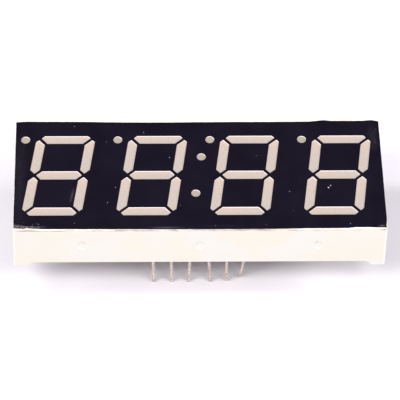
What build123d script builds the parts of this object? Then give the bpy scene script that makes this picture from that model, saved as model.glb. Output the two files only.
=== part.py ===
import math
import os

from build123d import *

# Four-digit seven-segment clock display, in millimetres, as it stands on its pins with its face up.
# x runs along the row of digits, y to the rear, z up. The origin lies under the middle of the body,
# on the plane of the pin tips. The digits read upright from the rear side, so the decimal points
# lie at the upper left of each digit as seen from the front.

# body
body_height = 8.0  # from the feet to the face
pin_length = 6.5  # from the feet to the pin tips
foot_height = 0.85
foot_width = 1.7  # of each foot's flat end, along both walls of its corner
wall = 0.9
face_plate = 0.9
wall_draft = 1.2  # lean of the outer walls in degrees: the body widens towards its feet
corner_radius = 0.3
rim_radius = 0.1
foot_radius = 0.08
mark_diameter = 1.2  # round mould marks on the front wall
mark_depth = 0.06
mark_spacing = 16.0
mark_drop = 3.7  # below the face

# black film on the face
film_thickness = 0.12
film_side_margin = 0.02
film_front_margin = 0.1
film_rear_margin = 0.7

# digits: upright sizes, before the slant
digit_count = 4
digit_spacing = 12.7
end_margin = 2.095  # from the outer sides of the end digits to the body's ends
digits_x = -0.1
digits_y = -0.3
slant_angle = 8.0
digit_height = 13.86
digit_width = 8.11
end_bar = 1.36  # width of the top and bottom bars
middle_bar = 1.43
side_bar = 1.31
bar_gap = 0.4
corner_cut = 1.09
window_radius = 0.12
dot_diameter = 1.24
point_distance = 1.48  # from a digit's side to the middle of its decimal point
colon_spread = 0.055  # of the colon's dots beyond the middle of the side bars

# light wells, from each window down to its chip
well_scale = 0.5  # width at the foot of a well over its width at the window
well_foot_length = 2.3
dot_well_diameter = 0.76
rim_gap = 0.15  # resin film between the wells' rims and the board
block_wall_high = 0.55  # wall round a digit's wells at the face plate
block_wall_low = 0.4
post_diameter = 1.1
post_offset = 3.6

# board, chips and bond wires
board_thickness = 1.0
board_clearance = 0.1
well_depth = 4.58  # from under the film to the board
chip_size = 0.24
chip_height = 0.2
wire_width = 0.03
wire_rise = 0.16
bar_wire_length = 0.6
dot_wire_length = 0.27

# pins
pin_inset = 1.98  # from the body's long sides to the rows of pins
pin_diameter = 0.45
pin_neck = 0.6  # diameter at the board's underside
pin_end = 0.54  # diameter at the board's top
pin_tip_round = 0.08
pin_spacing = 2.54
pin_rows = 15.24
pins_per_row = 6
bend_radius = 1.2
bend_below_feet = 0.35
solder_diameter = 1.6
solder_height = 0.7
resin_sink = 0.07  # of the resin's surface in a window, below the film's face
resin_recess = 0.3  # of the resin's back inside the walls' edge
resin_creep = 0.18  # how far the resin climbs the walls and pins at its back

# how far each bent pin's tip has moved along x and y, and how much it falls short, by pin number
bent_pins = {
    7: (0.18, 0.0, 0.02),
    8: (0.12, 0.0, 0.02),
    9: (-0.05, 0.0, 0.01),
    10: (0.46, 0.0, 0.12),
    11: (0.13, 0.0, 0.28),
    12: (-0.57, 0.65, 0.30),
}

body_length = (digit_count - 1) * digit_spacing + digit_width + 2 * end_margin
body_depth = pin_rows + 2 * pin_inset
feet_z = pin_length
edge_z = feet_z + foot_height
face_z = feet_z + body_height
plate_top_z = face_z - film_thickness
plate_under_z = plate_top_z - face_plate
board_top_z = plate_top_z - well_depth
board_under_z = board_top_z - board_thickness
rim_z = board_top_z + rim_gap
resin_back_z = edge_z + resin_recess
lean = math.tan(math.radians(wall_draft))
base_length = body_length + 2 * lean * (plate_top_z - feet_z)
base_depth = body_depth + 2 * lean * (plate_top_z - feet_z)
inner_length = body_length - 2 * wall
inner_depth = body_depth - 2 * wall
board_length = inner_length - 2 * board_clearance
board_depth = inner_depth - 2 * board_clearance
film_length = body_length - 2 * film_side_margin
film_depth = body_depth - film_front_margin - film_rear_margin
film_y = (film_front_margin - film_rear_margin) / 2
slant = math.tan(math.radians(slant_angle))
dot_radius = dot_diameter / 2

half_height = digit_height / 2
half_width = digit_width / 2
bar_x = half_width - side_bar / 2  # centre lines of the side and end bars
bar_y = half_height - end_bar / 2
half_mitre = bar_gap / math.sqrt(2)  # the mitred gap, measured along x or y


def top_bar():
    # the mitres run at 45 degrees through the crossing of the bars' centre lines,
    # and one 45 degree cut takes the digit's outer corner off both of its bars
    low = bar_y - end_bar / 2
    mitre = bar_x - bar_y - half_mitre
    cut = half_width + half_height - corner_cut
    right = [
        (cut - half_height, half_height),
        ((cut + mitre) / 2, (cut - mitre) / 2),
        (low + mitre, low),
    ]
    return right + [(-x, y) for x, y in reversed(right)]


def right_bar():
    inner = half_width - side_bar
    mitre = bar_x - bar_y + half_mitre
    cut = half_width + half_height - corner_cut
    foot = side_bar / 2 + half_mitre
    return [
        ((cut + mitre) / 2, (cut - mitre) / 2),
        (half_width, cut - half_width),
        (half_width, foot),
        (bar_x, half_mitre),
        (inner, foot),
        (inner, inner - mitre),
    ]


def centre_bar():
    half = middle_bar / 2
    tip = bar_x - half_mitre
    right = [(tip - half, -half), (tip, 0), (tip - half, half)]
    return right + [(-x, y) for x, y in reversed(right)]


def turned(points):
    return [(-x, -y) for x, y in points]


def mirrored(points):
    return [(-x, y) for x, y in reversed(points)]


# each bar by its letter as the digit is read, which is upside down from the front:
# outline, centre, and whether it lies along the row
bars = {
    "a": (turned(top_bar()), (0, -bar_y), True),
    "b": (turned(right_bar()), (-bar_x, -bar_y / 2), False),
    "c": (mirrored(right_bar()), (-bar_x, bar_y / 2), False),
    "d": (top_bar(), (0, bar_y), True),
    "e": (right_bar(), (bar_x, bar_y / 2), False),
    "f": (mirrored(turned(right_bar())), (bar_x, -bar_y / 2), False),
    "g": (centre_bar(), (0, 0), True),
}

# digit 1 is read first, so it is the last one along x
numbers = range(1, digit_count + 1)
digit_x = {number: digits_x + digit_spacing * ((digit_count + 1) / 2 - number) for number in numbers}


def placed(points, x):
    # slants upright points and moves them to the digit centred at x
    return [(x + px + slant * py, digits_y + py) for px, py in points]


# the points are level with the digits' end bars, and the colon's dots are near the middle of the side bars
point = (-half_width - point_distance, bar_y)
dots = {f"digit_{number}_point": placed([point], x)[0] for number, x in digit_x.items()}
colon_reach = bar_y / 2 + colon_spread
dots["colon_lower"] = placed([(0, colon_reach)], digits_x)[0]
dots["colon_upper"] = placed([(0, -colon_reach)], digits_x)[0]


def well_foot(points, centre, along):
    # both ends shrink by the same share and move in, so that every side of the well stays flat
    reach = max(abs(p[0] - centre[0]) if along else abs(p[1] - centre[1]) for p in points)
    shift = reach * well_scale - well_foot_length / 2
    foot = []
    for px, py in points:
        dx, dy = (px - centre[0]) * well_scale, (py - centre[1]) * well_scale
        if along:
            dx -= math.copysign(shift, dx)
        else:
            dy -= math.copysign(shift, dy)
        foot.append((centre[0] + dx, centre[1] + dy))
    return foot


def polygon_at(points, z):
    return Plane.XY.offset(z) * make_face(Polyline(*points, close=True))


def window(points, low, high):
    outline = polygon_at(points, low)
    return extrude(fillet(outline.vertices(), window_radius), high - low, dir=(0, 0, 1))


def taper(low_points, low, high_points, high):
    return loft([polygon_at(low_points, low), polygon_at(high_points, high)], ruled=True)


def rectangle(x0, x1, y0, y1):
    return [(x0, y0), (x1, y0), (x1, y1), (x0, y1)]


def block(length, depth, low, high, y=0.0):
    return Pos(0, y, low) * Box(length, depth, high - low, align=(Align.CENTER, Align.CENTER, Align.MIN))


def disc(x, y, low, high, low_radius, high_radius):
    height = high - low
    if low_radius == high_radius:
        body = Cylinder(low_radius, height, align=(Align.CENTER, Align.CENTER, Align.MIN))
    else:
        body = Cone(low_radius, high_radius, height, align=(Align.CENTER, Align.CENTER, Align.MIN))
    return Pos(x, y, low) * body


def windows(low, high):
    outlines = [placed(points, x) for x in digit_x.values() for points, _, _ in bars.values()]
    cuts = [window(outline, low, high) for outline in outlines]
    return cuts + [disc(x, y, low, high, dot_radius, dot_radius) for x, y in dots.values()]


def wells():
    cuts = []
    for x in digit_x.values():
        for points, centre, along in bars.values():
            foot = placed(well_foot(points, centre, along), x)
            cuts.append(taper(foot, rim_z, placed(points, x), plate_top_z))
    for x, y in dots.values():
        cuts.append(disc(x, y, rim_z, plate_top_z, dot_well_diameter / 2, dot_radius))
    return cuts


def digit_blocks():
    # one ring of wall round all the wells of a digit, with a hollow in each of its two loops
    foot_x = bar_x + side_bar * well_scale / 2 + block_wall_low
    foot_y = bar_y + end_bar * well_scale / 2 + block_wall_low
    top_x, top_y = half_width + block_wall_high, half_height + block_wall_high
    loop_top_x = half_width - side_bar - block_wall_high
    loop_foot_x = bar_x - side_bar * well_scale / 2 - block_wall_low
    loop_top_y = (middle_bar / 2 + block_wall_high, half_height - end_bar - block_wall_high)
    loop_foot_y = (
        middle_bar * well_scale / 2 + block_wall_low,
        bar_y - end_bar * well_scale / 2 - block_wall_low,
    )
    solid, hollow = [], []
    for x in digit_x.values():
        low = placed(rectangle(-foot_x, foot_x, -foot_y, foot_y), x)
        high = placed(rectangle(-top_x, top_x, -top_y, top_y), x)
        solid.append(taper(low, rim_z, high, plate_under_z))
        for side in (-1, 1):
            y0, y1 = sorted((side * loop_foot_y[0], side * loop_foot_y[1]))
            low = placed(rectangle(-loop_foot_x, loop_foot_x, y0, y1), x)
            y0, y1 = sorted((side * loop_top_y[0], side * loop_top_y[1]))
            high = placed(rectangle(-loop_top_x, loop_top_x, y0, y1), x)
            hollow.append(taper(low, rim_z, high, plate_under_z))
    return solid, hollow


def foot_gap(span, through):
    # the space under the walls' edge between two feet, with a 45 degree slope up to each foot
    half = span / 2 - foot_width
    profile = [(-half, feet_z), (half, feet_z), (half - foot_height, edge_z), (foot_height - half, edge_z)]
    face = Plane.XZ * make_face(Polyline(*profile, close=True))
    return extrude(face, through, both=True)


def make_housing():
    base = Plane.XY.offset(feet_z) * RectangleRounded(base_length, base_depth, corner_radius)
    top = Plane.XY.offset(plate_top_z) * RectangleRounded(body_length, body_depth, corner_radius)
    shell = loft([base, top], ruled=True)
    shell = fillet(shell.edges().group_by(Axis.Z)[-1], rim_radius)
    shell -= block(inner_length, inner_depth, feet_z, plate_under_z)
    shell -= foot_gap(base_length, base_depth)
    shell -= Rot(0, 0, 90) * foot_gap(base_depth, base_length)
    shell = fillet(shell.edges().group_by(Axis.Z)[0], foot_radius)
    solid, hollow = digit_blocks()
    boss_foot = dot_well_diameter / 2 + block_wall_low
    boss_top = dot_radius + block_wall_high
    bosses = [disc(x, y, rim_z, plate_under_z, boss_foot, boss_top) for x, y in dots.values()]
    posts = []
    for gap_x in (digits_x - digit_spacing, digits_x + digit_spacing):
        for x, y in placed([(0, -post_offset), (0, post_offset)], gap_x):
            posts.append(disc(x, y, board_top_z, plate_under_z, post_diameter / 2, post_diameter / 2))
    shell += solid + bosses
    shell -= hollow
    shell += posts
    shell -= wells()
    mark = Rot(90, 0, 0) * Cylinder(mark_diameter / 2, 2 * mark_depth)
    mark_y = -body_depth / 2 - lean * (mark_drop - film_thickness)
    marks = [
        Pos(x, mark_y, face_z - mark_drop) * mark for x in (-mark_spacing, 0, mark_spacing)
    ]
    return shell - marks


def make_film():
    sheet = block(film_length, film_depth, plate_top_z, face_z, film_y)
    return sheet - windows(plate_top_z, face_z)


def pin_axis(number):
    # pins 1 to 6 stand in the rear row and 7 to 12 in the front row, both counted as the display is read
    row = (number - 1) // pins_per_row
    place = (number - 1) % pins_per_row
    x = pin_spacing * (place - (pins_per_row - 1) / 2)
    return (-x, pin_rows / 2) if row == 0 else (x, -pin_rows / 2)


def round_bar(low, high, radius):
    return disc(0, 0, low, high, radius, radius)


def make_pin(number):
    neck = disc(0, 0, edge_z, board_under_z, pin_diameter / 2, pin_neck / 2)
    neck += disc(0, 0, board_under_z, board_top_z, pin_neck / 2, pin_end / 2)
    if number not in bent_pins:
        stem = round_bar(0, edge_z, pin_diameter / 2)
        stem = fillet(stem.edges().group_by(Axis.Z)[0], pin_tip_round)
        return Pos(*pin_axis(number), 0) * (stem + neck)
    move_x, move_y, short = bent_pins[number]
    move = math.hypot(move_x, move_y)
    bend_z = feet_z - bend_below_feet
    angle = math.atan2(move, bend_z - short)
    turn = math.degrees(math.atan2(move_y, move_x))
    start = (bend_radius * (1 - math.cos(angle)), bend_z - bend_radius * math.sin(angle))
    length = (start[1] - short) / math.cos(angle)
    stem = round_bar(bend_z, edge_z, pin_diameter / 2)
    section = Plane.XY.offset(bend_z) * Circle(pin_diameter / 2)
    curve = revolve(section, Axis((bend_radius, 0, bend_z), (0, -1, 0)), math.degrees(angle))
    lower = round_bar(-length, 0, pin_diameter / 2)
    lower = fillet(lower.edges().group_by(Axis.Z)[0], pin_tip_round)
    lower = Pos(start[0], 0, start[1]) * Rot(0, -math.degrees(angle), 0) * lower
    return Pos(*pin_axis(number), 0) * (Rot(0, 0, turn) * (stem + curve + lower) + neck)


def make_solder(pins):
    joints = []
    for number, pin in pins.items():
        x, y = pin_axis(number)
        cone = disc(x, y, board_under_z - solder_height, board_under_z, pin_neck / 2, solder_diameter / 2)
        joints.append((cone - pin).solid())
    return joints


def chip_at(x, y, turn):
    return Pos(x, y, board_top_z) * Rot(0, 0, turn) * Box(
        chip_size, chip_size, chip_height, align=(Align.CENTER, Align.CENTER, Align.MIN)
    )


def wire_at(x, y, turn, reach):
    # a flat loop from the chip's top down to the board, drawn as a band and given its width
    top = chip_height + wire_rise
    outer = [
        (-wire_width, chip_height),
        (-wire_width, top - wire_width),
        (0, top),
        (reach / 2, top),
        (reach, 0),
    ]
    inner = [
        (reach - wire_width, 0),
        (reach / 2 - wire_width / 2, top - wire_width),
        (wire_width / 2, top - wire_width),
        (0, top - 2 * wire_width),
        (0, chip_height),
    ]
    band = extrude(Plane.XZ * make_face(Polyline(*outer, *inner, close=True)), wire_width / 2, both=True)
    return Pos(x, y, board_top_z) * Rot(0, 0, turn) * band


def chips_and_wires():
    chips, wires = {}, {}
    for number, digit in digit_x.items():
        loops = []
        for letter, (_, centre, along) in bars.items():
            x, y = placed([centre], digit)[0]
            turn = 0 if along else 90 - slant_angle
            chips[f"led_digit_{number}_{letter}"] = chip_at(x, y, turn)
            loops.append(wire_at(x, y, turn, bar_wire_length))
        wires[f"bond_wires_digit_{number}"] = loops
    wires["bond_wires_colon"] = []
    for name, (x, y) in dots.items():
        chips[f"led_{name}"] = chip_at(x, y, 0)
        group = "colon" if name.startswith("colon") else name.removesuffix("_point")
        wires[f"bond_wires_{group}"].append(wire_at(x, y, 0, dot_wire_length))
    return chips, wires


def make_board(pins):
    return block(board_length, board_depth, board_under_z, board_top_z) - list(pins.values())


def make_resin(housing, film, board, others):
    # the pour fills the housing round all the inner parts, and each well up to just under the film's face
    creep_z = resin_back_z - resin_creep
    inside = block(inner_length, inner_depth, creep_z, plate_under_z)
    hollow = block(inner_length, inner_depth, feet_z, resin_back_z)
    inside -= chamfer(hollow.edges().group_by(Axis.Z)[-1], resin_creep)
    for number in range(1, 2 * pins_per_row + 1):
        x, y = pin_axis(number)
        inside += disc(x, y, creep_z, resin_back_z, pin_diameter / 2, pin_diameter / 2 + resin_creep)
    heads_length, heads_depth = film_length - 2 * wall / 3, film_depth - 2 * wall / 3
    heads = block(heads_length, heads_depth, plate_under_z, face_z - resin_sink, film_y)
    return (inside + heads) - housing - film - board - others


pins = {number: make_pin(number) for number in range(1, 2 * pins_per_row + 1)}
housing = make_housing()
film = make_film()
board = make_board(pins)
solder = make_solder(pins)
chips, wires = chips_and_wires()
wire_solids = [solid for group in wires.values() for solid in group]
inner_parts = list(pins.values()) + solder + list(chips.values()) + wire_solids
resin = make_resin(housing, film, board, inner_parts)

nodes = {"housing": housing, "face_film": film, "resin_fill": resin, "circuit_board": board}
nodes |= {f"pin_{number}": pin for number, pin in pins.items()}
nodes["solder_joints"] = Compound(solder)
nodes |= chips
nodes |= {name: Compound(group) for name, group in wires.items()}

os.makedirs("parts", exist_ok=True)
for name, shape in nodes.items():
    export_step(shape, f"parts/{name}.step")
    print(f"{name:28s} {shape.volume:10.4f} mm3, {len(shape.solids())} solid(s)")
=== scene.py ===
import math

import bpy
import numpy as np
from mathutils import Matrix, Vector
from mathutils.geometry import delaunay_2d_cdt


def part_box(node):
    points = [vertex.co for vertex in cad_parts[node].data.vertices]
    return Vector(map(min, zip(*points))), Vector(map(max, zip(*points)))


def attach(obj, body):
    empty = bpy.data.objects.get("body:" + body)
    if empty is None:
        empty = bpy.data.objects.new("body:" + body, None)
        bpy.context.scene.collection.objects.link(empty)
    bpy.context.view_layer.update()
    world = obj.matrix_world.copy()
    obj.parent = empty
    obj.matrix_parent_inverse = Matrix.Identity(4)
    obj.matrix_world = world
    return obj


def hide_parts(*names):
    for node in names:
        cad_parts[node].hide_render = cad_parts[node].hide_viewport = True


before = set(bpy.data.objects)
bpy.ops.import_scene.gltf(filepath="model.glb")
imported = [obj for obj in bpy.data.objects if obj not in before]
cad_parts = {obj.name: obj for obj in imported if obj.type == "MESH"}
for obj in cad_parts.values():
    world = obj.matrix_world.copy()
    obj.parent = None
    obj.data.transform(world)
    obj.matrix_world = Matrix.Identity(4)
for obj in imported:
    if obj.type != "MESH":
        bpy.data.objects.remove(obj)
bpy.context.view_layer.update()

# Four-digit seven-segment clock display, standing on its pins on a white table.
# Lengths in the dictionaries are millimetres unless a note says otherwise.
mm = 0.001
random = np.random.default_rng(7)
filmLow, filmHigh = (np.array(corner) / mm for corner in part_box("face_film"))
faceZ = filmHigh[2]
tableZ = 0.0
smallestRadius = 0.004  # of a corner whose radius an inset has used up
ovalDepth = 0.4  # how far an oval mask reaches below the face

# a Mix node has several sockets of each name: 0 is its factor, 6 and 7 its colours, and 2 its mixed colour
colourMix = {"data_type": "RGBA"}
colourTimes = colourMix | {"blend_type": "MULTIPLY"}


# node and mesh helpers

def linear(hexColour, alpha=1.0):
    # sRGB hex to linear: a straight part near black, then a power of 2.4
    parts = [int(hexColour[place:place + 2], 16) / 255 for place in (1, 3, 5)]
    return tuple(p / 12.92 if p <= 0.04045 else ((p + 0.055) / 1.055) ** 2.4 for p in parts) + (alpha,)


def grey(value):
    return (value, value, value, 1.0)


def addNode(tree, kind, inputs, settings=None, stops=()):
    # one node, of which it returns the outputs: each input is a value or another node's output, and stops
    # are a ramp's positions and colours
    node = tree.nodes.new("ShaderNode" + kind)
    for name, value in (settings or {}).items():
        setattr(node, name, value)
    for socket, source in inputs.items():
        if isinstance(source, bpy.types.NodeSocket):
            tree.links.new(source, node.inputs[socket])
        else:
            node.inputs[socket].default_value = source
    for place, (position, colour) in enumerate(stops):
        if place >= 2:
            node.color_ramp.elements.new(position)
        node.color_ramp.elements[place].position = position
        node.color_ramp.elements[place].color = colour
    return node.outputs


def newMaterial(name, values):
    # a material, its node tree, its shader with these values, and the object's coordinates for its patterns
    material = bpy.data.materials.new(name)
    material.use_nodes = True
    tree = material.node_tree
    shader = tree.nodes["Principled BSDF"]
    for socket, value in values.items():
        shader.inputs[socket].default_value = value
    place = addNode(tree, "TexCoord", {})["Object"]
    return material, tree, shader, place


def feed(tree, shader, sources):
    # links what was worked out to the shader's sockets
    for socket, source in sources.items():
        tree.links.new(source, shader.inputs[socket])


def perMetre(size):
    # the scale that gives a pattern features of this size
    return 1 / (size * mm)


def atHeight(points, z):
    # flat points as points in space at one height
    return np.concatenate([points, np.full(points.shape[:-1] + (1,), z)], -1)


def circle(count, radius):
    turn = np.linspace(0, 2 * np.pi, count, endpoint=False)
    return np.stack([np.cos(turn), np.sin(turn)], -1) * radius


def ringFaces(count, rings, sides):
    # the faces of closed solids, each a stack of rings from its lowest to its highest
    index = np.arange(count * rings * sides).reshape(count, rings, sides)
    low, high = index[:, :-1], index[:, 1:]
    quads = np.stack([low, np.roll(low, -1, 2), np.roll(high, -1, 2), high], -1).reshape(-1, 4)
    return quads.tolist() + index[:, -1].tolist() + index[:, 0, ::-1].tolist()


def newPiece(name, points, faces, materials, replaced=()):
    mesh = bpy.data.meshes.new(name)
    mesh.from_pydata((np.asarray(points) * mm).tolist(), [], faces)
    mesh.validate()
    piece = bpy.data.objects.new(name, mesh)
    bpy.context.scene.collection.objects.link(piece)
    for material in materials:
        mesh.materials.append(material)
    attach(piece, "root")
    if replaced:
        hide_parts(*replaced)
    return piece


# digits: the same sizes as the solids

digits = {
    # x and y are the middle of the row of digits, and the slant is in degrees
    "count": 4, "spacing": 12.7, "x": -0.1, "y": -0.3, "slant": 8.0,
    "height": 13.86, "width": 8.11, "endBar": 1.36, "middleBar": 1.43, "sideBar": 1.31,
    "gap": 0.4, "cut": 1.09, "windowRadius": 0.12, "dotDiameter": 1.24, "pointDistance": 1.48,
    "colonSpread": 0.055, "arcSteps": 5,
}
halfHeight = digits["height"] / 2
halfWidth = digits["width"] / 2
barX = halfWidth - digits["sideBar"] / 2
barY = halfHeight - digits["endBar"] / 2
halfMitre = digits["gap"] / math.sqrt(2)
slant = math.tan(math.radians(digits["slant"]))


def endBar():
    # the bar at the top: its right end runs from the cut corner down the mitre, and its left end mirrors it
    low = barY - digits["endBar"] / 2
    mitre = barX - barY - halfMitre
    cut = halfWidth + halfHeight - digits["cut"]
    right = np.array([
        (cut - halfHeight, halfHeight), ((cut + mitre) / 2, (cut - mitre) / 2), (low + mitre, low),
    ])
    return np.vstack([right, right[::-1] * (-1, 1)])


def sideBar():
    # the upper right bar: the cut corner above, and at its foot a point on the bar's middle line
    inner = halfWidth - digits["sideBar"]
    mitre = barX - barY + halfMitre
    cut = halfWidth + halfHeight - digits["cut"]
    foot = digits["sideBar"] / 2 + halfMitre
    return np.array([
        ((cut + mitre) / 2, (cut - mitre) / 2), (halfWidth, cut - halfWidth), (halfWidth, foot),
        (barX, halfMitre), (inner, foot), (inner, inner - mitre),
    ])


def middleBar():
    # a bar with a point at each end
    half = digits["middleBar"] / 2
    tip = barX - halfMitre
    right = np.array([(tip - half, -half), (tip, 0), (tip - half, half)])
    return np.vstack([right, right[::-1] * (-1, 1)])


def barOutlines():
    # the seven bars of an upright digit: outline, centre, and whether it lies along the row
    return [
        (endBar() * (-1, -1), (0, -barY), True), (sideBar() * (-1, -1), (-barX, -barY / 2), False),
        (sideBar() * (-1, 1), (-barX, barY / 2), False), (endBar(), (0, barY), True),
        (sideBar(), (barX, barY / 2), False), (sideBar() * (1, -1), (barX, -barY / 2), False),
        (middleBar(), (0, 0), True),
    ]


digitX = digits["x"] + digits["spacing"] * ((digits["count"] - 1) / 2 - np.arange(digits["count"]))


def placed(points, x):
    # slants upright points and moves them to the digit centred at x
    points = np.asarray(points, float)
    return np.stack([x + points[..., 0] + slant * points[..., 1], digits["y"] + points[..., 1]], -1)


def anticlockwise(points):
    x, y = points[:, 0], points[:, 1]
    area = np.sum(x * np.roll(y, -1) - np.roll(x, -1) * y)
    return points if area > 0 else points[::-1]


def roundedOutline(corners, radius, inset, steps):
    # every corner becomes an arc about a centre on its bisector, radius / sin(half the corner) away, and
    # an inset outline keeps those centres with a smaller radius until the arcs are used up
    before = np.roll(corners, 1, 0) - corners
    after = np.roll(corners, -1, 0) - corners
    before /= np.linalg.norm(before, axis=1, keepdims=True)
    after /= np.linalg.norm(after, axis=1, keepdims=True)
    half = np.arccos(np.clip((before * after).sum(1), -1, 1)) / 2
    bisector = before + after
    bisector /= np.linalg.norm(bisector, axis=1, keepdims=True)
    centre = corners + bisector * (max(radius, inset) / np.sin(half))[:, None]
    left = max(radius - inset, smallestRadius)
    start = np.stack([-before[:, 1], before[:, 0]], -1) * left
    turn = (np.pi - 2 * half)[:, None] * np.linspace(0, 1, steps)
    x = start[:, :1] * np.cos(turn) - start[:, 1:] * np.sin(turn)
    y = start[:, :1] * np.sin(turn) + start[:, 1:] * np.cos(turn)
    return (centre[:, None] + np.stack([x, y], -1)).reshape(-1, 2)


def barWindows():
    return [anticlockwise(placed(points, x)) for x in digitX for points, _, _ in barOutlines()]


def dotCentres():
    # a point left of each digit's top, then the two dots of the colon
    points = [placed((-halfWidth - digits["pointDistance"], barY), x) for x in digitX]
    reach = barY / 2 + digits["colonSpread"]
    return np.array(points + [placed((0, side * reach), digits["x"]) for side in (1, -1)])


def windowOutlines(inset):
    # all windows with the same number of points each, as one array
    radius, steps = digits["windowRadius"], digits["arcSteps"]
    bars = [roundedOutline(window, radius, inset, steps) for window in barWindows()]
    ring = circle(len(bars[0]), digits["dotDiameter"] / 2 - inset)
    return np.array(bars + [centre + ring for centre in dotCentres()])


# black film on the face

film = {
    "step": 0.12,  # between points along the edge
    "wave": 0.015,  # height of the slow waves along the edge
    "waves": {  # for each side, the seed of their phases and their lengths
        "front": (1, 4.1, 1.7, 0.8), "rear": (2, 6.0, 2.9, 1.1),
        "left": (4, 5.0, 2.1, 0.9), "right": (5, 7.0, 3.1, 1.3),
    },
    "fray": 0.16,  # deepest tear at the front left corner
    "frayWaves": (3, 0.41, 0.67, 1.13, 1.9),
    "frayFrom": -21.4, "frayLength": 2.5,  # where the tears start and how soon they are deep
    "frontEdge": (
        (-25.2, -9.3), (-23.9, -9.34), (-22.9, -9.31), (-22.2, -9.37), (-21.4, -9.46), (-12, -9.52),
        (-4.5, -9.56), (2, -9.58), (8, -9.58), (11.5, -9.56), (13, -9.5), (19.8, -9.47), (20.9, -9.32),
        (22.7, -9.32), (23.7, -9.38), (25.2, -9.38),
    ),
    "rearEdge": (
        (-25.2, 9.18), (-24, 9.27), (-15.9, 9.23), (-12.6, 9.14), (-6.5, 9.07), (3.3, 9.14), (12.7, 9.15),
        (15.5, 9.18), (17.5, 9.42), (18.6, 9.3), (23, 9.3), (24.2, 9.42), (25.2, 9.2),
    ),
    "rightEdge": ((-9.6, -0.17), (-8.9, -0.12), (-8.2, 0.0), (9.6, 0.0)),  # y and how far it moves in x
    "cloud": 4.0, "cloudColours": ("#110D18", "#17131F"), "grain": 0.16, "grainDepth": 0.002,
    "glossPatch": 1.2, "scuffAndSheenColour": "#C4BAB6",
    # oval patches: rubbed grey scuffs, and over the left margin a painted sheen; middle x and y, half length
    # and half width, turn in degrees, strength, and whether the grain breaks the patch up
    "ovalPatches": (
        (-24.9, -9.1, 1.9, 0.36, -3, 0.75, True), (-22.5, -9.2, 2.0, 0.22, 0, 0.5, True),
        # the first patch on the next line is a painted sheen over the left margin
        (-24.5, -1.0, 1.1, 10.0, 0, 0.035, True), (24.2, 6.2, 0.9, 2.8, 0, 0.06, True),
        (-17.34, -3.8, 0.28, 1.6, -10, 0.06, False), (-4.6, -9.35, 2.8, 0.22, 0, 0.09, False),
        (24.5, -9.15, 0.7, 0.35, 10, 0.24, True), (2.4, -9.1, 3.4, 0.25, 0, 0.04, True),
    ),
}


def waves(along, seed, *lengths):
    # the mean of sines of these wavelengths, each with its own phase
    phases = np.random.default_rng(seed).uniform(0, 2 * np.pi, len(lengths))
    sines = [np.sin(2 * np.pi * along / size + phase) for size, phase in zip(lengths, phases)]
    return sum(sines) / len(lengths)


def wander(along, side):
    # the slow waves of one side of the film
    return film["wave"] * waves(along, *film["waves"][side])


def filmEdge():
    # four runs, each a line plus a sum of sines: the front and rear lines wander from corner to corner,
    # and near its left corner the front one is torn by short steep waves that grow towards the corner
    x = np.arange(filmLow[0], filmHigh[0], film["step"])
    frayed = np.clip((film["frayFrom"] - x) / film["frayLength"], 0, 1)
    torn = film["fray"] * frayed * waves(x, *film["frayWaves"])
    front = np.interp(x, *np.transpose(film["frontEdge"])) + wander(x, "front") + torn
    rear = np.interp(x, *np.transpose(film["rearEdge"])) + wander(x, "rear")
    y = np.arange(front[0], rear[-1], film["step"])
    left = filmLow[0] + film["wave"] + wander(y, "left")
    right = filmHigh[0] - film["wave"] - wander(y, "right")
    right += np.interp(y, *np.transpose(film["rightEdge"]))
    runs = [
        np.stack([x, front], -1)[1:], np.stack([right, y], -1)[1:],
        np.stack([x, rear], -1)[:0:-1], np.stack([left, y], -1)[:0:-1],
    ]
    return np.vstack(runs)


def inWindow(points, windows):
    # a point in a window lies on the inner side of all of that window's edges
    along = np.roll(windows, -1, 1) - windows
    toPoint = points[:, None, None] - windows
    inner = along[..., 0] * toPoint[..., 1] - along[..., 1] * toPoint[..., 0] > 0
    return inner.all(axis=2).any(axis=1)


def inOutline(points, outline):
    # a ray along x from a point inside the outline crosses it an odd number of times
    after = np.roll(outline, -1, 0)
    x, y = points[:, :1], points[:, 1:]
    spans = (outline[:, 1] > y) != (after[:, 1] > y)
    rise = np.where(after[:, 1] == outline[:, 1], 1.0, after[:, 1] - outline[:, 1])
    crossing = outline[:, 0] + (after[:, 0] - outline[:, 0]) * (y - outline[:, 1]) / rise
    return (spans & (crossing > x)).sum(axis=1) % 2 == 1


def filmMesh():
    # the flat sheet between its edge and its windows, then a copy below it and a wall round every hole
    outline, holes = filmEdge(), windowOutlines(0.0)
    loops = [outline, *holes]
    starts = np.cumsum([0] + [len(loop) for loop in loops])
    edges = []
    for low, high in zip(starts, starts[1:]):
        along = np.arange(low, high)
        edges += np.stack([along, np.roll(along, -1)], -1).tolist()
    corners = [Vector(point) for point in np.vstack(loops)]
    points, _, triangles = delaunay_2d_cdt(corners, edges, [], 1, 1e-6, False)[:3]
    flat = np.array([tuple(point) for point in points])
    triangles = np.array(triangles)
    # the triangles cover the windows too, and bridge the hollows of the edge
    middle = flat[triangles].mean(axis=1)
    triangles = triangles[inOutline(middle, outline) & ~inWindow(middle, holes)]
    a, b, c = (flat[triangles[:, k]] for k in range(3))
    facing = (b - a)[:, 0] * (c - a)[:, 1] - (b - a)[:, 1] * (c - a)[:, 0]
    triangles[facing < 0] = triangles[facing < 0][:, ::-1]
    # a side is on a rim where no triangle uses it the other way round
    sides = np.vstack([triangles[:, (0, 1)], triangles[:, (1, 2)], triangles[:, (2, 0)]]).tolist()
    used = {tuple(side) for side in sides}
    rim = np.array([side for side in sides if (side[1], side[0]) not in used])
    count = len(flat)
    walls = np.stack([rim[:, 1], rim[:, 0], rim[:, 0] + count, rim[:, 1] + count], -1)
    faces = triangles.tolist() + (triangles[:, ::-1] + count).tolist() + walls.tolist()
    return np.vstack([atHeight(flat, filmHigh[2]), atHeight(flat, filmLow[2])]), faces


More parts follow.
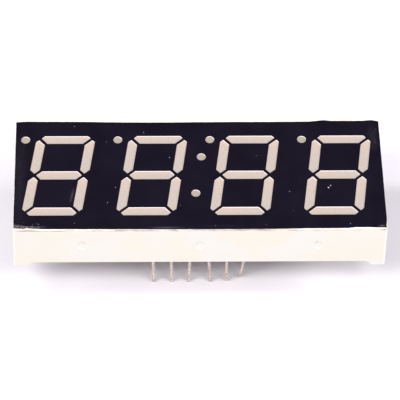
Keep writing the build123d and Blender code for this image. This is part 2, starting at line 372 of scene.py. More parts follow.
def ovalMask(tree, place, x, y, halfLength, halfWidth, turn):
    # a soft oval mask on the face: 1 in its middle and 0 at its outline, turned by degrees about z
    oval = addNode(tree, "Mapping", {
        "Vector": place, "Location": (x * mm, y * mm, faceZ * mm), "Rotation": (0, 0, math.radians(turn)),
        "Scale": (halfLength * mm, halfWidth * mm, ovalDepth * mm),
    }, {"vector_type": "TEXTURE"})["Vector"]
    reach = addNode(tree, "VectorMath", {0: oval}, {"operation": "LENGTH"})["Value"]
    return addNode(tree, "ValToRGB", {"Fac": reach}, stops=[(0.0, grey(1.0)), (1.0, grey(0.0))])["Color"]


def blackFilm():
    # screen-printed polyester film, satin black: a faint violet cast and a fine grain, rubbed grey in places,
    # with a painted sheen over its left margin
    material, tree, shader, place = newMaterial("screenPrintedFilm", {"IOR": 1.5, "Specular IOR Level": 0.08})
    cloud = addNode(tree, "TexNoise", {
        "Vector": place, "Scale": perMetre(film["cloud"]), "Detail": 4.0,
    })["Fac"]
    deep, pale = film["cloudColours"]
    body = addNode(tree, "ValToRGB", {"Fac": cloud}, stops=[
        (0.3, linear(deep)), (0.75, linear(pale)),
    ])["Color"]
    grain = addNode(tree, "TexNoise", {
        "Vector": place, "Scale": perMetre(film["grain"]), "Detail": 2.0, "Roughness": 0.7,
    })["Fac"]
    broken = addNode(tree, "ValToRGB", {"Fac": grain}, stops=[(0.42, grey(0.0)), (0.66, grey(1.0))])["Color"]
    # rubbed grey scuffs, and a painted sheen over the left margin, each mixed in over an oval
    for x, y, halfLength, halfWidth, turn, strength, isBroken in film["ovalPatches"]:
        mask = ovalMask(tree, place, x, y, halfLength, halfWidth, turn)
        if isBroken:
            mask = addNode(tree, "Mix", {0: 1.0, 6: mask, 7: broken}, colourTimes)[2]
        mask = addNode(tree, "Mix", {0: 1.0, 6: mask, 7: grey(strength)}, colourTimes)[2]
        body = addNode(tree, "Mix", {0: mask, 6: body, 7: linear(film["scuffAndSheenColour"])}, colourMix)[2]
    gloss = addNode(tree, "TexNoise", {
        "Vector": place, "Scale": perMetre(film["glossPatch"]), "Detail": 3.0,
    })["Fac"]
    rough = addNode(tree, "ValToRGB", {"Fac": gloss}, stops=[(0.3, grey(0.36)), (0.8, grey(0.5))])["Color"]
    bump = addNode(tree, "Bump", {"Height": grain, "Distance": film["grainDepth"] * mm})["Normal"]
    feed(tree, shader, {"Base Color": body, "Roughness": rough, "Normal": bump})
    return material


# epoxy: a sunk head in every window, tapered wells below them, and the back of the pour

resin = {
    "sink": 0.07,  # of a window's middle below the film's face
    "rimSink": 0.015,
    "meniscus": 0.06,  # distance in which the surface falls by about two thirds
    "insets": (-0.01, 0.02, 0.045, 0.07, 0.095, 0.13, 0.19),
    "highlightSide": (0.035, 0.09), "rimWidth": 0.07,  # the side whose rims get the painted highlight; width of the painted rim highlight and shade
    "wellScale": 0.5, "wellFootLength": 2.3, "dotFoot": 0.76, "wellFootZ": 9.95,
    "backZ": 7.65, "creep": 0.2, "creepLength": 0.2,
    "ripple": 0.012, "rippleLean": (0.4, -0.3),  # height, and how the two sets of waves lean
    "rippleWaves": ((6, 17.0, 7.3), (8, 9.0, 5.1)),  # of each set, the seed and the lengths
    "pinSpacing": 2.54, "pinRows": 15.24, "pinsPerRow": 6, "pinRadius": 0.225,
    "sideX": 24.32, "sideY": 8.72,  # of the pour's back, a little way into the walls round it
    "fineStep": 0.09, "coarseStepX": 0.35, "coarseStepY": 0.3,  # of the back's grid
    "wallBand": 0.5, "pinBandX": 1.0, "pinBandY": 0.9,  # where that grid is fine, by the walls and pins
    # the windows' own beige, painted darker at the front and lighter at the rear as painted shade of the well
    "beigeWithWellShade": ("#B8AFA7", "#BDB0A6", "#C3B1A5", "#C8B5A7"),  # from the front of a window to its rear
    "castColours": ("#FFFAF4", "#F9F9FA"),  # from the left of a window to its right
    # the dots' colour, darker as painted shade of their narrow wells; a painted highlight for the rims at the
    # rear and right, and a painted warm shade for those at the front and left
    "dotColourWithShade": "#A69B8C", "rimHighlightColour": "#FFF6EE", "shadeColour": "#A17F70",
    "grain": 0.22, "grainShare": 0.08, "swell": 1.4, "swellDepth": 0.004,  # of the surface in the windows
    "stain": 6.0, "stainColours": ("#CFC5B4", "#DDD5C8"), "backSwell": 1.1, "backSwellDepth": 0.006,
    "bubbleSpacing": 0.9, "bubbleColour": "#A79C8C",
}


def wellFeet():
    # each bar's outline at the foot of its well: half as wide about the bar's centre, with both ends moved in
    feet = []
    for x in digitX:
        for points, centre, along in barOutlines():
            axis = 0 if along else 1
            reach = np.abs(points - centre)[:, axis].max()
            shift = reach * resin["wellScale"] - resin["wellFootLength"] / 2
            offset = (points - centre) * resin["wellScale"]
            offset[:, axis] -= np.copysign(shift, offset[:, axis])
            outline = anticlockwise(placed(offset + centre, x))
            feet.append(roundedOutline(outline, digits["windowRadius"] / 2, 0.0, digits["arcSteps"]))
    ring = circle(len(feet[0]), resin["dotFoot"] / 2)
    return np.array(feet + [centre + ring for centre in dotCentres()])


def windowHeads():
    # rings of one profile carried round each window: the height falls from the rim towards the sunk middle
    # by 1 - exp(-inset / length), and the lowest ring lies at the foot of the well; each point's rim value,
    # which sets the painted rim highlight and shade, is exp(-(inset / width)^2) times the cosine between its
    # way out of the window and the side that gets the painted highlight
    offset = np.array(resin["highlightSide"]) / np.linalg.norm(resin["highlightSide"])
    foot = wellFeet()
    rings, rims = [atHeight(foot, resin["wellFootZ"])], [np.zeros(foot.shape[:2])]
    for inset in resin["insets"]:
        depth = max(inset, 0)
        fall = 1 - math.exp(-depth / resin["meniscus"])
        height = faceZ - resin["rimSink"] - (resin["sink"] - resin["rimSink"]) * fall
        outline = windowOutlines(inset)
        along = np.roll(outline, -1, 1) - np.roll(outline, 1, 1)
        outward = np.stack([along[..., 1], -along[..., 0]], -1)
        outward /= np.linalg.norm(outward, axis=-1, keepdims=True)
        rings.append(atHeight(outline, height))
        rims.append(math.exp(-((depth / resin["rimWidth"]) ** 2)) * (outward @ offset))
    grid = np.stack(rings, 1)  # window, ring, point, xyz
    windows, ringCount, sides, _ = grid.shape
    # across each window, 0 at its front and left edges and 1 at its rear and right ones
    flat = grid[..., :2]
    low, high = flat.min(axis=(1, 2), keepdims=True), flat.max(axis=(1, 2), keepdims=True)
    across = ((flat - low) / (high - low)).reshape(-1, 2)
    isDot = np.repeat(np.arange(windows) >= windows - len(dotCentres()), ringCount * sides)
    marks = {"isDot": isDot.astype(float), "rim": np.stack(rims, 1).ravel()}
    return grid.reshape(-1, 3), ringFaces(windows, ringCount, sides), across, marks


def backGrid(low, high, dense, fine, coarse):
    # coordinates from low to high: coarse steps, with fine ones inside the dense ranges
    stops = [np.arange(low, high, coarse)] + [np.arange(a, b, fine) for a, b in dense]
    clear = [stops[0][np.all([(stops[0] < a) | (stops[0] > b) for a, b in dense], axis=0)]]
    return np.unique(np.round(np.concatenate(clear + stops[1:] + [[low, high]]), 4))


def backSlab():
    # a height grid: the level back, gentle ripples, and a rise of exp(-distance / length) at walls and pins
    sideX, sideY = resin["sideX"], resin["sideY"]
    row = resin["pinRows"] / 2
    pinX = resin["pinSpacing"] * (np.arange(resin["pinsPerRow"]) - (resin["pinsPerRow"] - 1) / 2)
    reach = pinX[-1] + resin["pinBandX"]
    inner = sideX - resin["wallBand"]
    dense = ((-sideX, -inner), (-reach, reach), (inner, sideX))
    x = backGrid(-sideX, sideX, dense, resin["fineStep"], resin["coarseStepX"])
    inner = row - resin["pinBandY"]
    dense = ((-sideY, -inner), (inner, sideY))
    y = backGrid(-sideY, sideY, dense, resin["fineStep"], resin["coarseStepY"])
    gridX, gridY = np.meshgrid(x, y, indexing="ij")
    wallDistance = np.minimum(sideX - np.abs(gridX), sideY - np.abs(gridY))
    nearest = np.min(np.abs(gridX[..., None] - pinX), axis=-1)
    pinDistance = np.hypot(nearest, np.abs(gridY) - row) - resin["pinRadius"]
    rise = np.exp(-np.maximum(wallDistance, 0) / resin["creepLength"])
    rise = np.maximum(rise, np.exp(-np.maximum(pinDistance, 0) / resin["creepLength"]))
    (leanX, leanY), (wavesX, wavesY) = resin["rippleLean"], resin["rippleWaves"]
    ripple = waves(gridX + leanX * gridY, *wavesX) + waves(gridY + leanY * gridX, *wavesY)
    back = resin["backZ"] - resin["creep"] * rise + resin["ripple"] * ripple
    top = np.full_like(back, resin["wellFootZ"])
    points = np.concatenate([np.stack([gridX, gridY, z], -1).reshape(-1, 3) for z in (back, top)])
    columns, rows = back.shape
    index = np.arange(columns * rows).reshape(columns, rows)
    a, b, c, d = index[:-1, :-1], index[1:, :-1], index[1:, 1:], index[:-1, 1:]
    upper = np.stack([a, b, c, d], -1).reshape(-1, 4)
    count = columns * rows
    rim = np.concatenate([index[:, 0], index[-1, 1:], index[-2::-1, -1], index[0, -2:0:-1]])
    after = np.roll(rim, -1)
    walls = np.stack([rim, after, after + count, rim + count], -1)
    return points, upper[:, ::-1].tolist() + (upper + count).tolist() + walls.tolist()


def makeResin(windowMaterial, backMaterial):
    # heads and slab as one piece, with the place across a window as a UV map and the marks as attributes
    heads, headFaces, across, marks = windowHeads()
    slab, slabFaces = backSlab()
    shifted = [[place + len(heads) for place in face] for face in slabFaces]
    piece = newPiece(
        "epoxyPour", np.vstack([heads, slab]), headFaces + shifted, (windowMaterial, backMaterial),
        ("resin_fill",),
    )
    mesh = piece.data
    material = np.concatenate([np.zeros(len(headFaces), int), np.ones(len(slabFaces), int)])
    mesh.polygons.foreach_set("material_index", material)
    corner = np.empty(len(mesh.loops), int)
    mesh.loops.foreach_get("vertex_index", corner)
    flat = np.vstack([across, np.zeros((len(slab), 2))])
    mesh.uv_layers.new(name="acrossWindow").data.foreach_set("uv", flat[corner].ravel())
    for name, values in marks.items():
        layer = mesh.attributes.new(name, "FLOAT", "POINT")
        layer.data.foreach_set("value", np.append(values, np.zeros(len(slab))))
    mesh.polygons.foreach_set("use_smooth", np.ones(len(mesh.polygons), bool))
    return piece


def milkyEpoxy():
    # diffusing epoxy seen through a window: warm grey-beige, smooth and a little waxy; painted shade makes
    # every window darker at its front and lighter at its rear, a painted highlight lines its rear and right
    # rims and a painted warm shade its front and left ones, and the dots are painted darker as shade of their
    # wells
    material, tree, shader, place = newMaterial("milkyEpoxy", {"Roughness": 0.3, "IOR": 1.54})
    across = addNode(tree, "UVMap", {}, {"uv_map": "acrossWindow"})["UV"]
    split = addNode(tree, "SeparateXYZ", {"Vector": across})
    # painted shade: each window darker towards its front and lighter towards its rear
    colours = [linear(colour) for colour in resin["beigeWithWellShade"]]
    stops = list(zip((0.0, 0.5, 0.8, 1.0), colours))
    body = addNode(tree, "ValToRGB", {"Fac": split["Y"]}, stops=stops)["Color"]
    left, right = resin["castColours"]
    cast = addNode(tree, "ValToRGB", {"Fac": split["X"]}, stops=[
        (0.0, linear(left)), (1.0, linear(right)),
    ])["Color"]
    body = addNode(tree, "Mix", {0: 1.0, 6: body, 7: cast}, colourTimes)[2]
    # painted shade: the dots take a darker colour for their narrow wells
    isDot = addNode(tree, "Attribute", {}, {"attribute_name": "isDot"})["Fac"]
    body = addNode(tree, "Mix", {0: isDot, 6: body, 7: linear(resin["dotColourWithShade"])}, colourMix)[2]
    # painted highlight on the rims at the rear and right of every window, painted warm shade on the front and
    # left ones
    rim = addNode(tree, "Attribute", {}, {"attribute_name": "rim"})["Fac"]
    rimHighlight = addNode(tree, "ValToRGB", {"Fac": rim}, stops=[(0.15, grey(0.0)), (0.75, grey(0.9))])["Color"]
    body = addNode(tree, "Mix", {0: rimHighlight, 6: body, 7: linear(resin["rimHighlightColour"])}, colourMix)[2]
    shade = addNode(tree, "Math", {0: rim, 1: -1.0}, {"operation": "MULTIPLY"})["Value"]
    shade = addNode(tree, "ValToRGB", {"Fac": shade}, stops=[(0.2, grey(0.0)), (0.8, grey(0.5))])["Color"]
    body = addNode(tree, "Mix", {0: shade, 6: body, 7: linear(resin["shadeColour"])}, colourMix)[2]
    grain = addNode(tree, "TexNoise", {
        "Vector": place, "Scale": perMetre(resin["grain"]), "Detail": 2.0,
    })["Fac"]
    grain = addNode(tree, "ValToRGB", {"Fac": grain}, stops=[(0.36, grey(0.0)), (0.62, grey(1.0))])["Color"]
    grained = addNode(tree, "Mix", {0: 1.0, 6: body, 7: grain}, colourTimes)[2]
    body = addNode(tree, "Mix", {0: resin["grainShare"], 6: body, 7: grained}, colourMix)[2]
    swell = addNode(tree, "TexNoise", {
        "Vector": place, "Scale": perMetre(resin["swell"]), "Detail": 1.0,
    })["Fac"]
    bump = addNode(tree, "Bump", {"Height": swell, "Distance": resin["swellDepth"] * mm})["Normal"]
    feed(tree, shader, {"Base Color": body, "Normal": bump})
    return material


def potting():
    # the back of the same pour, unlit and glossier, with slow stains and tiny bubbles just under its skin
    material, tree, shader, place = newMaterial("pottingEpoxy", {"Roughness": 0.18, "IOR": 1.54})
    stains = addNode(tree, "TexNoise", {
        "Vector": place, "Scale": perMetre(resin["stain"]), "Detail": 4.0,
    })["Fac"]
    deep, pale = resin["stainColours"]
    body = addNode(tree, "ValToRGB", {"Fac": stains}, stops=[
        (0.3, linear(deep)), (0.7, linear(pale)),
    ])["Color"]
    cells = addNode(tree, "TexVoronoi", {
        "Vector": place, "Scale": perMetre(resin["bubbleSpacing"]),
    }, {"feature": "F1"})["Distance"]
    bubbles = addNode(tree, "ValToRGB", {"Fac": cells}, stops=[(0.05, grey(1.0)), (0.11, grey(0.0))])["Color"]
    body = addNode(tree, "Mix", {0: bubbles, 6: body, 7: linear(resin["bubbleColour"])}, colourMix)[2]
    swell = addNode(tree, "TexNoise", {
        "Vector": place, "Scale": perMetre(resin["backSwell"]), "Detail": 2.0,
    })["Fac"]
    bump = addNode(tree, "Bump", {"Height": swell, "Distance": resin["backSwellDepth"] * mm})["Normal"]
    feed(tree, shader, {"Base Color": body, "Normal": bump})
    return material


# finishes of the solids that stay as they are

moulding = {
    "patch": 8.0, "warm": "#FFF8E4", "pale": "#FEFAEB",
    "darkLineAndScuffColour": "#B79F92", "darkLineLow": 13.95, "darkLineHigh": 14.4,  # colour and heights of the broken line
    "dash": 0.3, "dashStretch": 0.15,  # height of a dash, and the scale along the wall that makes it long
    "markSpacing": 16.0, "markZ": 10.8, "markWidth": 1.0, "markHeight": 1.7,  # ejector marks
    # colour of the painted shadow under each mark's upper lip, and of the pale spot in the mark
    "markLipShadow": "#D9C6B0", "markSpot": "#FFFFEE", "ringGrain": 0.3,
    "glossPatch": 0.8, "swell": 2.2, "swellDepth": 0.01, "grain": 0.15, "grainDepth": 0.003,
    # middle x and y, half length and half width, turn in degrees, and strength
    "ovalPatches": ((-23.6, -9.5, 2.6, 0.6, 0, 0.7), (24.6, -9.4, 0.9, 0.5, 0, 0.4)),
}


def ejectorMarks(tree, x, z):
    # two masks that repeat along x on both long walls: a spot in each mark, and an arc over it that is a
    # painted shadow under the mark's upper lip
    half = moulding["markSpacing"] / 2 * mm
    nearest = addNode(tree, "Math", {0: x, 1: half, 2: -half}, {"operation": "WRAP"})["Value"]
    flat = addNode(tree, "CombineXYZ", {"X": nearest, "Y": z})["Vector"]
    disc = addNode(tree, "Mapping", {
        "Vector": flat, "Location": (0, moulding["markZ"] * mm, 0),
        "Scale": (moulding["markWidth"] * mm, moulding["markHeight"] * mm, 1.0),
    }, {"vector_type": "TEXTURE"})["Vector"]
    reach = addNode(tree, "VectorMath", {0: disc}, {"operation": "LENGTH"})["Value"]
    above = addNode(tree, "SeparateXYZ", {"Vector": disc})["Y"]
    spot = addNode(tree, "ValToRGB", {"Fac": reach}, stops=[(0.28, grey(1.0)), (0.5, grey(0.0))])["Color"]
    ring = addNode(tree, "ValToRGB", {"Fac": reach}, stops=[
        (0.36, grey(0.0)), (0.44, grey(1.0)), (0.58, grey(1.0)), (0.68, grey(0.0)),
    ])["Color"]
    upper = addNode(tree, "ValToRGB", {"Fac": above}, stops=[(0.2, grey(0.0)), (0.36, grey(1.0))])["Color"]
    return spot, addNode(tree, "Mix", {0: 1.0, 6: ring, 7: upper}, colourTimes)[2]


def darkLineUnderFilm(tree, place, z):
    # a mask of the dark line under the film's edge, broken into dashes
    height = addNode(tree, "MapRange", {
        "Value": z, "From Min": moulding["darkLineLow"] * mm, "From Max": moulding["darkLineHigh"] * mm,
    })["Result"]
    line = addNode(tree, "ValToRGB", {"Fac": height}, stops=[
        (0.05, grey(0.0)), (0.4, grey(1.0)), (0.8, grey(1.0)), (1.0, grey(0.0)),
    ])["Color"]
    stretch = moulding["dashStretch"]
    stretched = addNode(tree, "Mapping", {"Vector": place, "Scale": (stretch, stretch, 1.0)})["Vector"]
    dashes = addNode(tree, "TexNoise", {
        "Vector": stretched, "Scale": perMetre(moulding["dash"]), "Detail": 3.0, "Roughness": 0.7,
    })["Fac"]
    dashes = addNode(tree, "ValToRGB", {"Fac": dashes}, stops=[
        (0.44, grey(0.0)), (0.58, grey(0.85)),
    ])["Color"]
    return addNode(tree, "Mix", {0: 1.0, 6: line, 7: dashes}, colourTimes)[2]


def mouldedWhite():
    # white polycarbonate, injection-moulded: satin skin with warm and pale patches, a broken dark line under
    # the film's edge, and faint discs where the ejectors pressed, each with a painted shadow arc under its
    # upper lip
    material, tree, shader, place = newMaterial("mouldedPolycarbonate", {"IOR": 1.58})
    split = addNode(tree, "SeparateXYZ", {"Vector": place})
    patches = addNode(tree, "TexNoise", {
        "Vector": place, "Scale": perMetre(moulding["patch"]), "Detail": 2.0,
    })["Fac"]
    body = addNode(tree, "ValToRGB", {"Fac": patches}, stops=[
        (0.42, linear(moulding["warm"])), (0.6, linear(moulding["pale"])),
    ])["Color"]
    spot, lipShadow = ejectorMarks(tree, split["X"], split["Z"])
    body = addNode(tree, "Mix", {0: spot, 6: body, 7: linear(moulding["markSpot"])}, colourMix)[2]
    fine = addNode(tree, "TexNoise", {
        "Vector": place, "Scale": perMetre(moulding["ringGrain"]), "Detail": 2.0, "Roughness": 0.7,
    })["Fac"]
    broken = addNode(tree, "ValToRGB", {"Fac": fine}, stops=[(0.42, grey(0.0)), (0.6, grey(0.6))])["Color"]
    # painted shadow: a tan arc under the upper lip of every ejector mark
    lipShadow = addNode(tree, "Mix", {0: 1.0, 6: lipShadow, 7: broken}, colourTimes)[2]
    body = addNode(tree, "Mix", {0: lipShadow, 6: body, 7: linear(moulding["markLipShadow"])}, colourMix)[2]
    masks = [darkLineUnderFilm(tree, place, split["Z"])]
    for x, y, halfLength, halfWidth, turn, strength in moulding["ovalPatches"]:
        mask = ovalMask(tree, place, x, y, halfLength, halfWidth, turn)
        masks.append(addNode(tree, "Mix", {0: 1.0, 6: mask, 7: grey(strength)}, colourTimes)[2])
    for mask in masks:
        body = addNode(tree, "Mix", {0: mask, 6: body, 7: linear(moulding["darkLineAndScuffColour"])}, colourMix)[2]
    gloss = addNode(tree, "TexNoise", {
        "Vector": place, "Scale": perMetre(moulding["glossPatch"]), "Detail": 3.0,
    })["Fac"]
    rough = addNode(tree, "ValToRGB", {"Fac": gloss}, stops=[(0.3, grey(0.34)), (0.7, grey(0.46))])["Color"]
    swell = addNode(tree, "TexNoise", {
        "Vector": place, "Scale": perMetre(moulding["swell"]), "Detail": 1.0,
    })["Fac"]
    bump = addNode(tree, "Bump", {"Height": swell, "Distance": moulding["swellDepth"] * mm})["Normal"]
    grain = addNode(tree, "TexNoise", {
        "Vector": place, "Scale": perMetre(moulding["grain"]), "Detail": 2.0,
    })["Fac"]
    bump = addNode(tree, "Bump", {
        "Height": grain, "Distance": moulding["grainDepth"] * mm, "Normal": bump,
    })["Normal"]
    feed(tree, shader, {"Base Color": body, "Roughness": rough, "Normal": bump})
    return material


wire = {
    "cloud": 0.9, "speck": 0.15, "streak": 0.06, "streakStretch": 0.08, "streakDepth": 0.004,
    "dimple": 0.35, "dimpleDepth": 0.012,
    "dull": "#DFD1C4", "bright": "#F8EEE3", "speckColour": "#5E4C52",
}


def tinnedWire():
    # wire dipped in tin: pale and a little warm, mottled by small dark specks of the dip, dull in clouds
    # where it has oxidised, with drawn streaks along z
    material, tree, shader, place = newMaterial("tinnedWire", {"Metallic": 1.0})
    clouds = addNode(tree, "TexNoise", {
        "Vector": place, "Scale": perMetre(wire["cloud"]), "Detail": 3.0, "Roughness": 0.6,
    })["Fac"]
    body = addNode(tree, "ValToRGB", {"Fac": clouds}, stops=[
        (0.3, linear(wire["dull"])), (0.7, linear(wire["bright"])),
    ])["Color"]
    specks = addNode(tree, "TexNoise", {
        "Vector": place, "Scale": perMetre(wire["speck"]), "Detail": 2.0, "Roughness": 0.8,
    })["Fac"]
    specks = addNode(tree, "ValToRGB", {"Fac": specks}, stops=[(0.4, grey(0.9)), (0.5, grey(0.0))])["Color"]
    body = addNode(tree, "Mix", {0: specks, 6: body, 7: linear(wire["speckColour"])}, colourMix)[2]
    rough = addNode(tree, "ValToRGB", {"Fac": clouds}, stops=[(0.3, grey(0.55)), (0.7, grey(0.4))])["Color"]
    drawn = addNode(tree, "Mapping", {"Vector": place, "Scale": (1.0, 1.0, wire["streakStretch"])})["Vector"]
    streaks = addNode(tree, "TexNoise", {
        "Vector": drawn, "Scale": perMetre(wire["streak"]), "Detail": 2.0,
    })["Fac"]
    bump = addNode(tree, "Bump", {"Height": streaks, "Distance": wire["streakDepth"] * mm})["Normal"]
    dimples = addNode(tree, "TexNoise", {
        "Vector": place, "Scale": perMetre(wire["dimple"]), "Detail": 3.0,
    })["Fac"]
    bump = addNode(tree, "Bump", {
        "Height": dimples, "Distance": wire["dimpleDepth"] * mm, "Normal": bump,
    })["Normal"]
    feed(tree, shader, {"Base Color": body, "Roughness": rough, "Normal": bump})
    return material


inside = {
    "frost": 0.4, "solderDimple": 0.25, "dimpleDepth": 0.01, "solderColours": ("#B9B6B4", "#DAD8D5"),
    "weave": 0.4, "weaveDepth": 0.01, "weaveColours": ("#B79C5E", "#A68C50"),
    "sawMark": 0.05, "chipColours": ("#C0561F", "#D9772E"),
    "drawLine": 0.02, "bondColours": ("#CFD0D2", "#E3E4E6"),
}


def solderAlloy():
    # tin-lead solder, wetted and set bright with a faint frost
    material, tree, shader, place = newMaterial("solderAlloy", {"Metallic": 1.0, "Roughness": 0.25})
    frost = addNode(tree, "TexNoise", {
        "Vector": place, "Scale": perMetre(inside["frost"]), "Detail": 3.0,
    })["Fac"]
    dull, bright = inside["solderColours"]
    body = addNode(tree, "ValToRGB", {"Fac": frost}, stops=[
        (0.35, linear(dull)), (0.7, linear(bright)),
    ])["Color"]
    dimples = addNode(tree, "TexNoise", {
        "Vector": place, "Scale": perMetre(inside["solderDimple"]), "Detail": 3.0,
    })["Fac"]
    bump = addNode(tree, "Bump", {"Height": dimples, "Distance": inside["dimpleDepth"] * mm})["Normal"]
    feed(tree, shader, {"Base Color": body, "Normal": bump})
    return material


def glassEpoxyBoard():
    # woven glass and epoxy laminate: amber, with the weave showing through
    material, tree, shader, place = newMaterial("glassEpoxyBoard", {"Roughness": 0.45, "IOR": 1.55})
    pale, deep = inside["weaveColours"]
    weave = addNode(tree, "TexChecker", {
        "Vector": place, "Scale": perMetre(inside["weave"]), "Color1": linear(pale), "Color2": linear(deep),
    })
    bump = addNode(tree, "Bump", {
        "Height": weave["Fac"], "Distance": inside["weaveDepth"] * mm,
    })["Normal"]
    feed(tree, shader, {"Base Color": weave["Color"], "Normal": bump})
    return material


def ledCrystal():
    # gallium phosphide chip: sawn amber crystal, clear and very refractive
    material, tree, shader, place = newMaterial("galliumPhosphide", {
        "Roughness": 0.2, "IOR": 3.3, "Transmission Weight": 0.2,
    })
    sawn = addNode(tree, "TexNoise", {
        "Vector": place, "Scale": perMetre(inside["sawMark"]), "Detail": 3.0,
    })["Fac"]
    deep, pale = inside["chipColours"]
    body = addNode(tree, "ValToRGB", {"Fac": sawn}, stops=[
        (0.35, linear(deep)), (0.7, linear(pale)),
    ])["Color"]
    feed(tree, shader, {"Base Color": body})
    return material


def bondAluminium():
    # drawn aluminium bond wire: bright, with faint draw lines
    material, tree, shader, place = newMaterial("aluminiumBondWire", {"Metallic": 1.0, "Roughness": 0.25})
    lines = addNode(tree, "TexNoise", {
        "Vector": place, "Scale": perMetre(inside["drawLine"]), "Detail": 3.0,
    })["Fac"]
    dull, bright = inside["bondColours"]
    body = addNode(tree, "ValToRGB", {"Fac": lines}, stops=[
        (0.35, linear(dull)), (0.7, linear(bright)),
    ])["Color"]
    feed(tree, shader, {"Base Color": body})
    return material


def dress(material, names):
    # gives the solids of these nodes their finish
    for name in names:
        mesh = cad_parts[name].data
        mesh.materials.clear()
        mesh.materials.append(material)


# dust and specks on the film

dust = {
    "grains": (  # x, y and size
        (17.57, -2.57, 1.0), (17.86, -2.22, 0.75), (-4.02, 2.79, 0.55), (12.21, -3.24, 0.5),
        (-7.55, 7.27, 0.5), (20.19, -8.78, 0.5), (-11.44, -2.44, 0.45), (8.85, -8.9, 0.45),
        (-17.1, 8.38, 0.42), (-12.53, -5.03, 0.42), (1.98, -9.03, 0.34), (7.95, 3.1, 0.32),
        (-16.96, -8.6, 0.32), (12.6, -6.52, 0.3), (-12.67, 5.67, 0.3), (-2.66, -5.59, 0.3),
        (-21.78, -8.75, 0.42), (-22.59, -8.74, 0.36), (-22.05, -8.57, 0.3), (-23.8, -8.4, 0.3),
        (24.42, 5.9, 0.3), (24.68, 7.7, 0.34), (24.52, 5.36, 0.3), (20.69, 3.94, 0.26),
    ),
    "length": 0.22, "width": 0.16, "height": 0.03, "turnSteps": 10, "riseSteps": 5,
    "twoDents": 0.22, "threeDents": 0.15,  # depth of the dents that come twice and three times round
    "fibre": 0.05, "colours": ("#C6C2C9", "#E2DFE5"),
}


def makeDust(material):
    # half-sunk flattened balls: a sphere of two angles, stretched, turned and dented for each grain
    turn = np.linspace(0, 2 * np.pi, dust["turnSteps"], endpoint=False)
    rise = np.linspace(-np.pi / 2, np.pi / 2, dust["riseSteps"])[1:-1]
    centre = np.array([grain[:2] for grain in dust["grains"]])[:, :, None, None]
    size = np.array([grain[2] for grain in dust["grains"]])[:, None, None]
    count = len(size)
    dent = 1 + dust["twoDents"] * np.sin(2 * turn + random.uniform(0, 6, (count, 1, 1)))
    dent = dent + dust["threeDents"] * np.sin(3 * turn)
    heading = random.uniform(0, np.pi, (count, 1, 1))
    long = size * dent * np.cos(rise)[:, None] * np.cos(turn) * dust["length"] / 2
    wide = size * dent * np.cos(rise)[:, None] * np.sin(turn) * dust["width"] / 2
    high = size * np.sin(rise)[:, None] * dust["height"] + 0 * turn
    x = centre[:, 0] + long * np.cos(heading) - wide * np.sin(heading)
    y = centre[:, 1] + long * np.sin(heading) + wide * np.cos(heading)
    grid = np.stack([x, y, faceZ + high], -1)
    return newPiece("dustGrains", grid.reshape(-1, 3), ringFaces(count, len(rise), len(turn)), (material,))


def lintDust():
    # house dust and lint: pale, rough and slightly cool
    material, tree, shader, place = newMaterial("houseDust", {"Roughness": 0.9})
    fibres = addNode(tree, "TexNoise", {
        "Vector": place, "Scale": perMetre(dust["fibre"]), "Detail": 3.0,
    })["Fac"]
    deep, pale = dust["colours"]
    body = addNode(tree, "ValToRGB", {"Fac": fibres}, stops=[
        (0.3, linear(deep)), (0.7, linear(pale)),
    ])["Color"]
    feed(tree, shader, {"Base Color": body})
    return material


# table, light and camera

studio = {
    "tableSize": 3000.0, "tableColour": "#EAE5E8", "tableBounce": "#A3A0AC", "world": 0.15,
    "worldColour": "#BCC8FF", "lampSize": 240.0, "lampDistance": 700.0,
    "lamps": (  # azimuth and elevation in degrees, power in watts
        ("frontLeftLamp", -60, 40, 1.7), ("frontRightLamp", 60, 40, 0.7), ("highLeftLamp", -40, 57, 1.45),
        ("highRightLamp", 40, 57, 1.49), ("rearLeftLamp", -100, 60, 1.49), ("lowRightLamp", 35, 18, 0.83),
        ("leftLamp", -90, 30, 0.98), ("rightLamp", 90, 30, 2.8),
    ),
}
photo = {
    "azimuth": -3.0615, "elevation": 51.744, "roll": 2.2019,  # degrees
    "distance": 336.143, "moveRight": 0.1041, "moveUp": -3.6601, "clipStart": 10.0,
    "focalPixels": 2459.25, "imagePixels": 400, "sensor": 36.0,
}


def direction(azimuth, elevation):
    # the way out to a viewer or lamp: azimuth 0 is the front, and 90 the right
    a, e = math.radians(azimuth), math.radians(elevation)
    return Vector((math.sin(a) * math.cos(e), -math.cos(a) * math.cos(e), math.sin(e)))


def makeTable():
    # white paper that is darker to the light it throws back than to the eye
    half = studio["tableSize"] / 2 * mm
    corners = [(-half, -half, tableZ), (half, -half, tableZ), (half, half, tableZ), (-half, half, tableZ)]
    mesh = bpy.data.meshes.new("table")
    mesh.from_pydata(corners, [], [(0, 1, 2, 3)])
    table = bpy.data.objects.new("table", mesh)
    bpy.context.scene.collection.objects.link(table)
    material, tree, shader, _ = newMaterial("whitePaper", {"Roughness": 0.9, "Specular IOR Level": 0.2})
    rays = addNode(tree, "LightPath", {})
    seen = rays["Is Camera Ray"]
    for kind in ("Is Glossy Ray", "Is Transmission Ray"):
        seen = addNode(tree, "Math", {0: seen, 1: rays[kind]}, {"operation": "MAXIMUM"})["Value"]
    paper = addNode(tree, "Mix", {
        0: seen, 6: linear(studio["tableBounce"]), 7: linear(studio["tableColour"]),
    }, colourMix)[2]
    feed(tree, shader, {"Base Color": paper})
    mesh.materials.append(material)


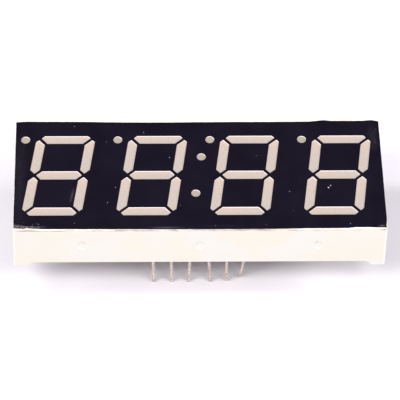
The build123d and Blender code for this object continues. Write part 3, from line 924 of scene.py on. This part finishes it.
def makeLight():
    # a faint bluish world, and round soft lamps that face the object
    world = bpy.data.worlds.new("studioWorld")
    bpy.context.scene.world = world
    world.use_nodes = True
    background = world.node_tree.nodes["Background"]
    background.inputs["Color"].default_value = linear(studio["worldColour"])
    background.inputs["Strength"].default_value = studio["world"]
    for name, azimuth, elevation, power in studio["lamps"]:
        light = bpy.data.lights.new(name, "AREA")
        light.shape = "DISK"
        light.size = studio["lampSize"] * mm
        light.energy = power
        lamp = bpy.data.objects.new(name, light)
        back = direction(azimuth, elevation)
        turn = back.to_track_quat("Z", "Y").to_matrix().to_4x4()
        lamp.matrix_world = Matrix.Translation(back * studio["lampDistance"] * mm) @ turn
        bpy.context.scene.collection.objects.link(lamp)


def makeCamera():
    # looks at the middle of the face from above its front, rolled a little
    azimuth = math.radians(photo["azimuth"])
    roll = math.radians(photo["roll"])
    back = direction(photo["azimuth"], photo["elevation"])
    right = Vector((math.cos(azimuth), math.sin(azimuth), 0))
    up = back.cross(right)
    cameraX = right * math.cos(roll) + up * math.sin(roll)
    cameraY = up * math.cos(roll) - right * math.sin(roll)
    place = Vector((0, 0, faceZ)) + back * photo["distance"]
    place += cameraX * photo["moveRight"] + cameraY * photo["moveUp"]
    camera = bpy.data.cameras.new("photoCamera")
    camera.sensor_width = photo["sensor"]
    camera.lens = photo["focalPixels"] / photo["imagePixels"] * photo["sensor"]
    camera.clip_start = photo["clipStart"] * mm
    item = bpy.data.objects.new("photoCamera", camera)
    turned = Matrix((cameraX, cameraY, back)).transposed().to_4x4()
    item.matrix_world = Matrix.Translation(place * mm) @ turned
    bpy.context.scene.collection.objects.link(item)
    bpy.context.scene.camera = item


nodeNames = sorted(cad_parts)
dress(mouldedWhite(), ["housing"])
dress(tinnedWire(), [name for name in nodeNames if name.startswith("pin_")])
dress(solderAlloy(), ["solder_joints"])
dress(glassEpoxyBoard(), ["circuit_board"])
dress(ledCrystal(), [name for name in nodeNames if name.startswith("led_")])
dress(bondAluminium(), [name for name in nodeNames if name.startswith("bond_wires_")])
print("finishes: done")

filmPoints, filmFaces = filmMesh()
newPiece("printedFilm", filmPoints, filmFaces, (blackFilm(),), ("face_film",))
print(f"film: {len(filmFaces)} faces")

pour = makeResin(milkyEpoxy(), potting())
print(f"epoxy: {len(pour.data.polygons)} faces")

grains = makeDust(lintDust())
print(f"dust: {len(grains.data.polygons)} faces")

makeTable()
makeLight()
makeCamera()
bpy.context.scene.view_settings.view_transform = "Standard"
print("table, light and camera: done")
